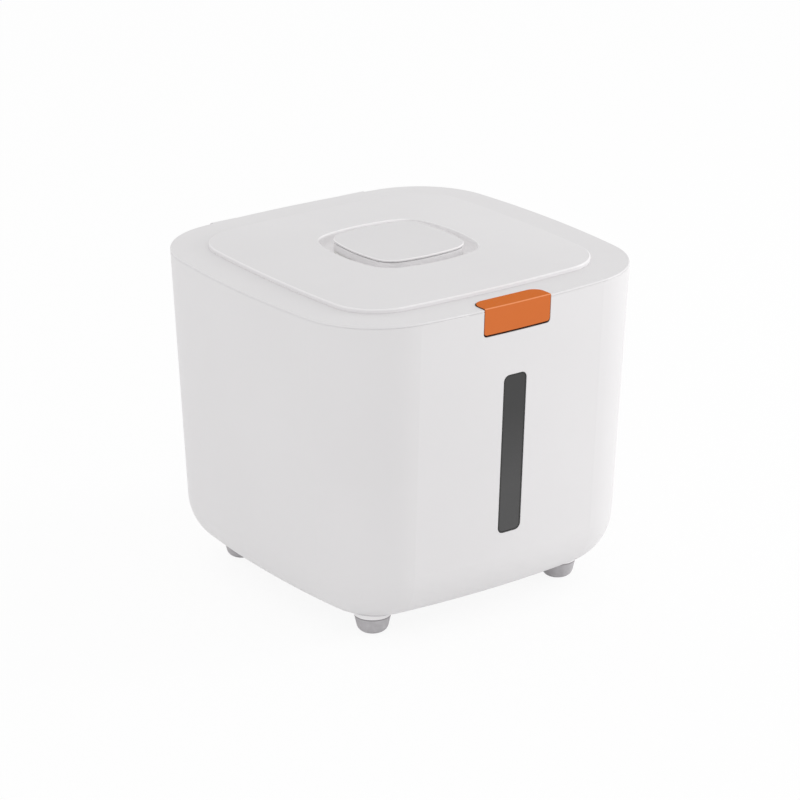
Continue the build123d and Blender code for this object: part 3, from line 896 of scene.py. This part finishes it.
def foot_ring(name, section, finish):
    """Four rings round the feet.

    Section gives a ring's (radius, height) points under a level of the shell.
    """
    low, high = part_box("foot_pad_front_left")
    middle = (low + high) / 2
    shell = frame["nodes"]["bin_body"]
    bpy.context.view_layer.update()
    rings = []
    for step in range(collar_steps):
        angle = 2 * math.pi * step / collar_steps
        away = Vector((math.cos(angle), math.sin(angle), 0))
        start = Vector((middle.x, middle.y, 0)) + away * collar_reach
        top_z = shell.ray_cast(start, Vector((0, 0, 1)))[1].z
        rings.append([(middle.x + r * away.x, middle.y + r * away.y, z) for r, z in section(top_z)])
    piece = new_piece(name, *strip_between(rings, True), finish)
    smooth(piece, ring_sharp_angle)

    tree, start = new_shape_tree(name, ("Turn",))
    spots = add_node(tree, "GeometryNodeMeshLine", mode="OFFSET", Count=foot_count)
    spots.inputs["Offset"].default_value = (0, 0, 0)
    index = add_node(tree, "GeometryNodeInputIndex").outputs["Index"]
    turn = add_math(tree, "MULTIPLY", index, start.outputs["Turn"])
    close_with_copies(tree, spots.outputs["Mesh"], start.outputs["Geometry"], turn, finish)
    grow(piece, tree, {"Turn": math.pi / 2})
    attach(piece, "bin")
    return piece


def collar_section(top_z):
    """Collar that leans in a little, from the pad's lip to the seam under the shell."""
    edge_z = top_z - seam_height
    return [
        (collar_bore, collar_low_z), (collar_reach - collar_chamfer, collar_low_z),
        (collar_reach, collar_low_z + collar_chamfer), (collar_reach - collar_lean, edge_z - collar_chamfer),
        (seam_reach, edge_z), (collar_bore, edge_z),
    ]


def crease_shade_section(top_z):
    """Thin ring of painted shade in the crease between the collar and the shell."""
    low_z = top_z - seam_low_share * seam_height
    high_z = top_z + seam_high_share * seam_height
    return [(collar_bore, low_z), (seam_reach, low_z), (seam_reach, high_z), (collar_bore, high_z)]


bin_white = moulded_plastic("bin_satin", bin_tones, bin_roughness)[0]
# The collars' paler tones are painted light; their lower roughness is their own gloss
collar_white = moulded_plastic(
    "collar_gloss_and_light", collar_painted_light_tones, collar_roughness, grain_depth=collar_grain_depth
)[0]
liner_white = moulded_plastic("liner_satin", liner_tones, liner_roughness, liner_grain_scale)[0]

finishes = {
    "bin_white": bin_white,
    "lid_white": lid_plastic(),
    "liner_white": liner_white,
    "smoked_window": smoked_plastic(),
    "latch_orange": latch_plastic(),
    "foot_rubber": soft_rubber(),
    "silicone": pale_silicone(),
    "steel": drawn_steel(),
}
knob_white = knob_plastic()
own_finishes = {"knob_base": knob_white, "knob_plate": knob_white}


def dress_nodes():
    """Every node takes the finish of its material slot, or its own."""
    for subpart in frame["record"]["subparts"]:
        slots = frame["nodes"][subpart["node"]].data.materials
        slots.clear()
        slots.append(own_finishes.get(subpart["node"], finishes[subpart["material_slot"]]))


def add_trim():
    """Pieces that the plain solids leave out or only stand in for."""
    # Strip of painted shade round the latch
    add_latch_shade_strip(latch_gap_shade())
    # Collars paler than the shell as painted light
    foot_ring("foot_collars", collar_section, collar_white)
    # Rings of painted shade in the creases above the collars
    foot_ring("foot_collar_seams", crease_shade_section, crease_shade_finish())
    lips = gasket_tree(finishes["silicone"])
    lid_lips = (lid_lip_width, lid_lip_thickness, lid_lip_pitch)
    add_gasket("lid_gasket", "lid_seal", "lid", lips, bin_outline, *lid_lips)
    cup_lips = (cup_lip_width, cup_lip_thickness, cup_lip_pitch)
    add_gasket("cup_gasket", "cup_seal", "desiccant_box", lips, knob_outline, *cup_lips)
    add_screws(finishes["steel"])
    add_leaf_spring(finishes["steel"])
    add_rim_lip(bin_white)


def add_camera():
    """Camera in the place from which the photograph was taken."""
    turn = math.radians(camera_azimuth)
    tilt = math.radians(camera_elevation)
    back = Vector((math.sin(turn) * math.cos(tilt), -math.cos(turn) * math.cos(tilt), math.sin(tilt)))
    right = Vector((math.cos(turn), math.sin(turn), 0))
    data = bpy.data.cameras.new("photo_camera")
    data.lens = camera_lens
    data.clip_end = camera_reach
    camera = bpy.data.objects.new("photo_camera", data)
    camera.location = right * camera_aside + Vector((0, 0, camera_aim_height)) + back * camera_distance
    camera.rotation_euler = (-back).to_track_quat("-Z", "Y").to_euler()
    bpy.context.collection.objects.link(camera)
    bpy.context.scene.camera = camera


def seen_directly(tree):
    """1 where a surface or the sky is seen by the camera, in a reflection or through glass."""
    path = add_node(tree, "ShaderNodeLightPath")
    total = path.outputs["Is Camera Ray"]
    for name in ("Is Glossy Ray", "Is Transmission Ray"):
        total = add_math(tree, "MAXIMUM", total, path.outputs[name])
    return total


def close_with_mix(tree, share, first, second, end_kind):
    """One shader turned into another by a share, and the end of the tree."""
    mix = add_node(tree, "ShaderNodeMixShader")
    link(tree, share, mix.inputs["Fac"])
    link(tree, first, mix.inputs[1])
    link(tree, second, mix.inputs[2])
    end = add_node(tree, end_kind)
    link(tree, mix.outputs["Shader"], end.inputs["Surface"])


def add_studio_sky():
    """White sky where it is seen, and a softer one that lights the bin."""
    world = bpy.data.worlds.new("studio_sky")
    bpy.context.scene.world = world
    world.use_nodes = True
    tree = world.node_tree
    tree.nodes.clear()
    soft = add_node(tree, "ShaderNodeBackground", Strength=ambient_strength)
    soft.inputs["Color"].default_value = (1, 1, 1, 1)
    white = add_node(tree, "ShaderNodeBackground", Strength=1.0)
    white.inputs["Color"].default_value = (1, 1, 1, 1)
    backgrounds = (soft.outputs["Background"], white.outputs["Background"])
    close_with_mix(tree, seen_directly(tree), *backgrounds, "ShaderNodeOutputWorld")


def add_softbox(name, power, size, place):
    """Square lamp that faces the middle of the bin."""
    lamp = bpy.data.lights.new(name, "AREA")
    lamp.energy = power
    lamp.shape = "SQUARE"
    lamp.size = size
    softbox = bpy.data.objects.new(name, lamp)
    softbox.location = place
    aim = Vector((0, 0, camera_aim_height)) - Vector(place)
    softbox.rotation_euler = aim.to_track_quat("-Z", "Y").to_euler()
    bpy.context.collection.objects.link(softbox)


def add_floor():
    """Pale, faintly glowing floor that keeps the soft shadow of the bin."""
    material = bpy.data.materials.new("studio_floor")
    material.use_nodes = True
    tree = material.node_tree
    tree.nodes.clear()
    card = add_node(tree, "ShaderNodeBsdfDiffuse")
    card.inputs["Color"].default_value = (floor_albedo, floor_albedo, floor_albedo, 1)
    white = add_node(tree, "ShaderNodeEmission", Strength=1.0)
    share = add_span(tree, seen_directly(tree), 0.0, 1.0, floor_glow_share, floor_white_share)
    close_with_mix(tree, share, card.outputs["BSDF"], white.outputs["Emission"], "ShaderNodeOutputMaterial")

    half = floor_size / 2
    corners = [(-half, -half, 0), (half, -half, 0), (half, half, 0), (-half, half, 0)]
    new_piece("studio_floor", corners, [(0, 1, 2, 3)], material)


bpy.context.scene.view_settings.view_transform = "Standard"
dress_nodes()
add_trim()
add_camera()
add_studio_sky()
add_softbox("key_softbox", key_power, key_size, key_place)
add_softbox("fill_softbox", fill_power, fill_size, fill_place)
add_floor()
